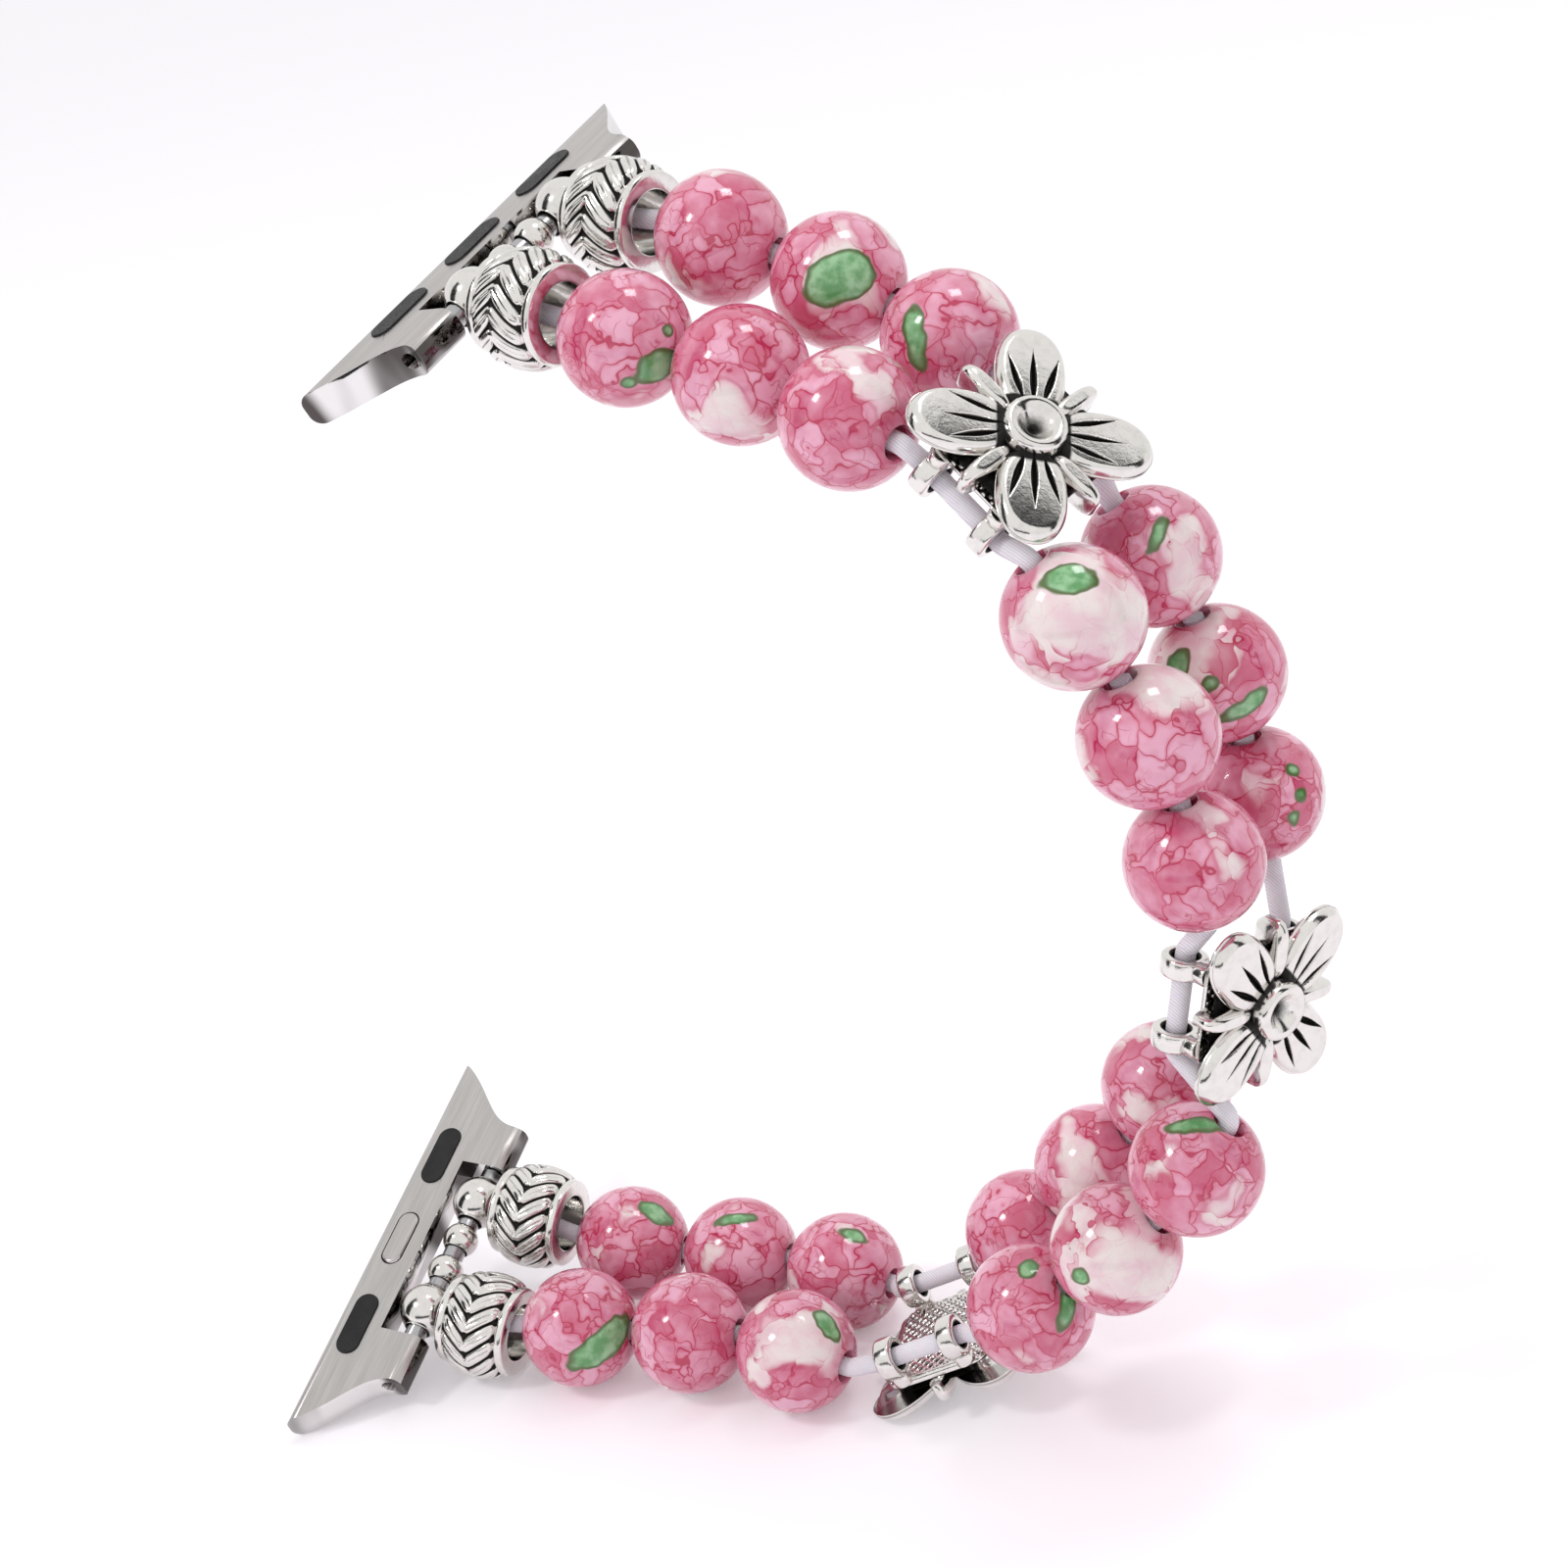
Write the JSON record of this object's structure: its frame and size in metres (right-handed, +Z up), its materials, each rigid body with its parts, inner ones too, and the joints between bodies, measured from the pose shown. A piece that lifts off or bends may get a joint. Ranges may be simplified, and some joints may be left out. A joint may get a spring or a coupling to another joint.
{
  "type": "beaded watch band",
  "caption": "Two-strand elastic beaded watch band with flower spacers, barrel end beads and a slide-in case adapter at each end.",
  "frame": {"origin": "middle of the overall box's base: the floor below the band's centre", "axes": "+Z up, +X from the open side of the C towards its closed side, -Y towards the near strand of the lower leg"},
  "size_m": [0.0724, 0.038, 0.0806],
  "materials": {
    "bead_marble": "gloss",
    "antique_silver": "satin",
    "adapter_silver": "satin",
    "spring_steel": "satin",
    "pad_rubber": "matte",
    "elastic_cord": "satin"
  },
  "bodies": {
    "link_flower_2": {"flower_2": "antique_silver", "cord_flower_2": "elastic_cord"},
    "link_end_lower": {"bails_lower": "antique_silver", "cord_end_lower": "elastic_cord"},
    "link_single_4": {"cord_single_4": "elastic_cord"},
    "link_flower_3": {"flower_3": "antique_silver", "cord_flower_3": "elastic_cord"},
    "link_single_3": {"cord_single_3": "elastic_cord"},
    "link_single_2": {"cord_single_2": "elastic_cord"},
    "link_flower_1": {"flower_1": "antique_silver", "cord_flower_1": "elastic_cord"},
    "link_single_1": {"cord_single_1": "elastic_cord"},
    "link_end_upper": {"bails_upper": "antique_silver", "cord_end_upper": "elastic_cord"},
    "near_bead_12": {"near_bead_12": "bead_marble"},
    "far_bead_12": {"far_bead_12": "bead_marble"},
    "near_bead_11": {"near_bead_11": "bead_marble"},
    "far_bead_11": {"far_bead_11": "bead_marble"},
    "near_bead_10": {"near_bead_10": "bead_marble"},
    "far_bead_10": {"far_bead_10": "bead_marble"},
    "near_bead_9": {"near_bead_9": "bead_marble"},
    "far_bead_9": {"far_bead_9": "bead_marble"},
    "near_bead_8": {"near_bead_8": "bead_marble"},
    "far_bead_8": {"far_bead_8": "bead_marble"},
    "near_bead_7": {"near_bead_7": "bead_marble"},
    "far_bead_7": {"far_bead_7": "bead_marble"},
    "near_bead_6": {"near_bead_6": "bead_marble"},
    "far_bead_6": {"far_bead_6": "bead_marble"},
    "near_bead_5": {"near_bead_5": "bead_marble"},
    "far_bead_5": {"far_bead_5": "bead_marble"},
    "near_bead_4": {"near_bead_4": "bead_marble"},
    "far_bead_4": {"far_bead_4": "bead_marble"},
    "near_bead_3": {"near_bead_3": "bead_marble"},
    "far_bead_3": {"far_bead_3": "bead_marble"},
    "near_bead_2": {"near_bead_2": "bead_marble"},
    "far_bead_2": {"far_bead_2": "bead_marble"},
    "near_bead_1": {"near_bead_1": "bead_marble"},
    "far_bead_1": {"far_bead_1": "bead_marble"},
    "near_barrel_lower": {"near_barrel_lower": "antique_silver"},
    "far_barrel_lower": {"far_barrel_lower": "antique_silver"},
    "near_barrel_upper": {"near_barrel_upper": "antique_silver"},
    "far_barrel_upper": {"far_barrel_upper": "antique_silver"},
    "adapter_lower": {"plate_lower": "adapter_silver", "pads_lower": "pad_rubber", "bar_lower": "spring_steel", "bar_spring_lower": "spring_steel", "latch_spring_lower": "spring_steel"},
    "near_ball_lower": {"near_ball_lower": "antique_silver"},
    "far_ball_lower": {"far_ball_lower": "antique_silver"},
    "bar_tip_lower": {"bar_tip_lower": "spring_steel"},
    "latch_button_lower": {"latch_button_lower": "adapter_silver"},
    "adapter_upper": {"plate_upper": "adapter_silver", "pads_upper": "pad_rubber", "bar_upper": "spring_steel", "bar_spring_upper": "spring_steel", "latch_spring_upper": "spring_steel"},
    "near_ball_upper": {"near_ball_upper": "antique_silver"},
    "far_ball_upper": {"far_ball_upper": "antique_silver"},
    "bar_tip_upper": {"bar_tip_upper": "spring_steel"},
    "latch_button_upper": {"latch_button_upper": "adapter_silver"}
  },
  "joints": [
    {"name": "flex_row_6_5", "type": "hinge", "parent": "link_flower_2", "child": "link_single_2", "pos_m": [0.03042, -0.00536, 0.04457], "axis": [-0.1611, -0.9868, 0.0176], "range_deg": [-19, 6]},
    {"name": "flex_row_5_4", "type": "hinge", "parent": "link_single_2", "child": "link_flower_1", "pos_m": [0.0285, -0.00643, 0.05245], "axis": [-0.1949, -0.9808, 0.0115], "range_deg": [-21, 4]},
    {"name": "flex_row_3_2", "type": "hinge", "parent": "link_flower_1", "child": "link_single_1", "pos_m": [0.01168, -0.00218, 0.069], "axis": [-0.392, -0.8823, -0.2607], "range_deg": [-10, 15]},
    {"name": "flex_row_2_1", "type": "hinge", "parent": "link_single_1", "child": "link_end_upper", "pos_m": [0.00415, -0.00018, 0.07148], "axis": [-0.4116, -0.8215, -0.3947], "range_deg": [-7, 18]},
    {"name": "flex_row_8_7", "type": "hinge", "parent": "link_flower_2", "child": "link_single_3", "pos_m": [0.02358, -0.00677, 0.01793], "axis": [-0.4275, 0.9025, 0.0525], "range_deg": [-19, 6]},
    {"name": "flex_row_9_8", "type": "hinge", "parent": "link_single_3", "child": "link_flower_3", "pos_m": [0.01757, -0.00655, 0.01239], "axis": [-0.3614, 0.9323, -0.0104], "range_deg": [-13, 12]},
    {"name": "flex_row_11_10", "type": "hinge", "parent": "link_flower_3", "child": "link_single_4", "pos_m": [-0.0054, -0.00409, 0.00434], "axis": [-0.0044, 0.9997, -0.0242], "range_deg": [-4, 21]},
    {"name": "flex_row_12_11", "type": "hinge", "parent": "link_single_4", "child": "link_end_lower", "pos_m": [-0.01357, -0.00405, 0.00403], "axis": [-0.0058, 0.9993, 0.0362], "range_deg": [-20, 5]},
    {"name": "near_bead_12_spin", "type": "hinge", "parent": "link_end_lower", "child": "near_bead_12", "pos_m": [-0.01759, -0.00903, 0.00413], "axis": [0.9901, 0.1241, -0.0655], "continuous": true},
    {"name": "far_bead_12_spin", "type": "hinge", "parent": "link_end_lower", "child": "far_bead_12", "pos_m": [-0.01761, -0.0001, 0.00492], "axis": [0.9758, 0.1271, -0.1778], "continuous": true},
    {"name": "near_bead_11_spin", "type": "hinge", "parent": "link_single_4", "child": "near_bead_11", "pos_m": [-0.00946, -0.00855, 0.00416], "axis": [0.9974, -0.0081, 0.0714], "continuous": true},
    {"name": "far_bead_11_spin", "type": "hinge", "parent": "link_single_4", "child": "far_bead_11", "pos_m": [-0.00951, 0.00041, 0.00421], "axis": [1, -0.0029, 0.0053], "continuous": true},
    {"name": "near_bead_10_spin", "type": "hinge", "parent": "link_flower_3", "child": "near_bead_10", "pos_m": [-0.00138, -0.00932, 0.00406], "axis": [0.9795, -0.1783, -0.094], "continuous": true},
    {"name": "far_bead_10_spin", "type": "hinge", "parent": "link_flower_3", "child": "far_bead_10", "pos_m": [-0.00139, -0.00032, 0.00404], "axis": [0.9832, -0.1764, -0.0464], "continuous": true},
    {"name": "near_bead_9_spin", "type": "hinge", "parent": "link_flower_3", "child": "near_bead_9", "pos_m": [0.01602, -0.01033, 0.00986], "axis": [0.7718, -0.0982, 0.6282], "continuous": true},
    {"name": "far_bead_9_spin", "type": "hinge", "parent": "link_flower_3", "child": "far_bead_9", "pos_m": [0.01303, -0.00186, 0.00954], "axis": [0.715, -0.1221, 0.6883], "continuous": true},
    {"name": "near_bead_8_spin", "type": "hinge", "parent": "link_single_3", "child": "near_bead_8", "pos_m": [0.02235, -0.01078, 0.01507], "axis": [0.769, -0.0118, 0.6391], "continuous": true},
    {"name": "far_bead_8_spin", "type": "hinge", "parent": "link_single_3", "child": "far_bead_8", "pos_m": [0.0188, -0.00253, 0.01526], "axis": [0.7002, -0.0418, 0.7127], "continuous": true},
    {"name": "near_bead_7_spin", "type": "hinge", "parent": "link_flower_2", "child": "near_bead_7", "pos_m": [0.02795, -0.01053, 0.02095], "axis": [0.5986, 0.0713, 0.7979], "continuous": true},
    {"name": "far_bead_7_spin", "type": "hinge", "parent": "link_flower_2", "child": "far_bead_7", "pos_m": [0.02406, -0.00244, 0.02148], "axis": [0.5846, 0.0646, 0.8088], "continuous": true},
    {"name": "near_bead_6_spin", "type": "hinge", "parent": "link_flower_2", "child": "near_bead_6", "pos_m": [0.02999, -0.00948, 0.04058], "axis": [-0.0741, -0.0792, 0.9941], "continuous": true},
    {"name": "far_bead_6_spin", "type": "hinge", "parent": "link_flower_2", "child": "far_bead_6", "pos_m": [0.03141, -0.00059, 0.04042], "axis": [-0.0647, -0.0807, 0.9946], "continuous": true},
    {"name": "near_bead_5_spin", "type": "hinge", "parent": "link_single_2", "child": "near_bead_5", "pos_m": [0.02866, -0.01032, 0.04858], "axis": [-0.2528, -0.1279, 0.959], "continuous": true},
    {"name": "far_bead_5_spin", "type": "hinge", "parent": "link_single_2", "child": "far_bead_5", "pos_m": [0.03026, -0.00147, 0.04845], "axis": [-0.2161, -0.135, 0.967], "continuous": true},
    {"name": "near_bead_4_spin", "type": "hinge", "parent": "link_flower_1", "child": "near_bead_4", "pos_m": [0.02582, -0.0114, 0.05615], "axis": [-0.4381, -0.1361, 0.8885], "continuous": true},
    {"name": "far_bead_4_spin", "type": "hinge", "parent": "link_flower_1", "child": "far_bead_4", "pos_m": [0.02769, -0.0026, 0.05607], "axis": [-0.4129, -0.1423, 0.8996], "continuous": true},
    {"name": "near_bead_3_spin", "type": "hinge", "parent": "link_flower_1", "child": "near_bead_3", "pos_m": [0.01347, -0.00784, 0.06674], "axis": [-0.8647, 0.4243, 0.2689], "continuous": true},
    {"name": "far_bead_3_spin", "type": "hinge", "parent": "link_flower_1", "child": "far_bead_3", "pos_m": [0.01685, 0.00024, 0.06845], "axis": [-0.8324, 0.3655, 0.4166], "continuous": true},
    {"name": "near_bead_2_spin", "type": "hinge", "parent": "link_single_1", "child": "near_bead_2", "pos_m": [0.00611, -0.00499, 0.06877], "axis": [-0.9347, 0.2725, 0.2281], "continuous": true},
    {"name": "far_bead_2_spin", "type": "hinge", "parent": "link_single_1", "child": "far_bead_2", "pos_m": [0.00971, 0.00263, 0.07171], "axis": [-0.9014, 0.2146, 0.3759], "continuous": true},
    {"name": "near_bead_1_spin", "type": "hinge", "parent": "link_end_upper", "child": "near_bead_1", "pos_m": [-0.00156, -0.00333, 0.07096], "axis": [-0.9426, 0.1351, 0.3052], "continuous": true},
    {"name": "far_bead_1_spin", "type": "hinge", "parent": "link_end_upper", "child": "far_bead_1", "pos_m": [0.00214, 0.00407, 0.07451], "axis": [-0.9426, 0.1351, 0.3052], "continuous": true},
    {"name": "near_barrel_lower_spin", "type": "hinge", "parent": "link_end_lower", "child": "near_barrel_lower", "pos_m": [-0.02491, -0.00918, 0.00375], "axis": [0.9884, -0.0128, -0.1513], "continuous": true},
    {"name": "far_barrel_lower_spin", "type": "hinge", "parent": "link_end_lower", "child": "far_barrel_lower", "pos_m": [-0.02428, -0.00089, 0.0072], "axis": [0.9884, -0.0128, -0.1513], "continuous": true},
    {"name": "near_barrel_upper_spin", "type": "hinge", "parent": "link_end_upper", "child": "near_barrel_upper", "pos_m": [-0.00789, -0.00211, 0.07281], "axis": [-0.9434, 0.3063, 0.1273], "continuous": true},
    {"name": "far_barrel_upper_spin", "type": "hinge", "parent": "link_end_upper", "child": "far_barrel_upper", "pos_m": [-0.0049, 0.00579, 0.07591], "axis": [-0.9434, 0.3063, 0.1273], "continuous": true},
    {"name": "adapter_swivel_lower", "type": "hinge", "parent": "link_end_lower", "child": "adapter_lower", "pos_m": [-0.02934, -0.00498, 0.0062], "axis": [0.0706, 0.921, 0.3832], "range_deg": [-57, 63]},
    {"name": "near_ball_lower_spin", "type": "hinge", "parent": "adapter_lower", "child": "near_ball_lower", "pos_m": [-0.02943, -0.00619, 0.0057], "axis": [-0.0706, -0.921, -0.3832], "continuous": true},
    {"name": "far_ball_lower_spin", "type": "hinge", "parent": "adapter_lower", "child": "far_ball_lower", "pos_m": [-0.02924, -0.00376, 0.00671], "axis": [-0.0706, -0.921, -0.3832], "continuous": true},
    {"name": "bar_tip_lower_press", "type": "slide", "parent": "adapter_lower", "child": "bar_tip_lower", "axis": [0.0706, 0.921, 0.3832], "range_m": [0, 0.0011], "stiffness_N_per_m": 1500, "springref_m": -0.0006, "deforming": ["bar_spring_lower"]},
    {"name": "latch_button_lower_press", "type": "slide", "parent": "adapter_lower", "child": "latch_button_lower", "axis": [-0.0825, 0.3882, -0.9179], "range_m": [0, 0.0005], "stiffness_N_per_m": 600, "springref_m": -0.0004, "deforming": ["latch_spring_lower"]},
    {"name": "adapter_swivel_upper", "type": "hinge", "parent": "link_end_upper", "child": "adapter_upper", "pos_m": [-0.01092, 0.00331, 0.07497], "axis": [-0.3316, -0.8781, -0.3448], "range_deg": [-74, 46]},
    {"name": "near_ball_upper_spin", "type": "hinge", "parent": "adapter_upper", "child": "near_ball_upper", "pos_m": [-0.01136, 0.00215, 0.07452], "axis": [-0.3316, -0.8781, -0.3448], "continuous": true},
    {"name": "far_ball_upper_spin", "type": "hinge", "parent": "adapter_upper", "child": "far_ball_upper", "pos_m": [-0.01049, 0.00447, 0.07543], "axis": [-0.3316, -0.8781, -0.3448], "continuous": true},
    {"name": "bar_tip_upper_press", "type": "slide", "parent": "adapter_upper", "child": "bar_tip_upper", "axis": [0.3316, 0.8781, 0.3448], "range_m": [0, 0.0011], "stiffness_N_per_m": 1500, "springref_m": -0.0006, "deforming": ["bar_spring_upper"]},
    {"name": "latch_button_upper_press", "type": "slide", "parent": "adapter_upper", "child": "latch_button_upper", "axis": [-0.2222, -0.2825, 0.9332], "range_m": [0, 0.0005], "stiffness_N_per_m": 600, "springref_m": -0.0004, "deforming": ["latch_spring_upper"]}
  ]
}
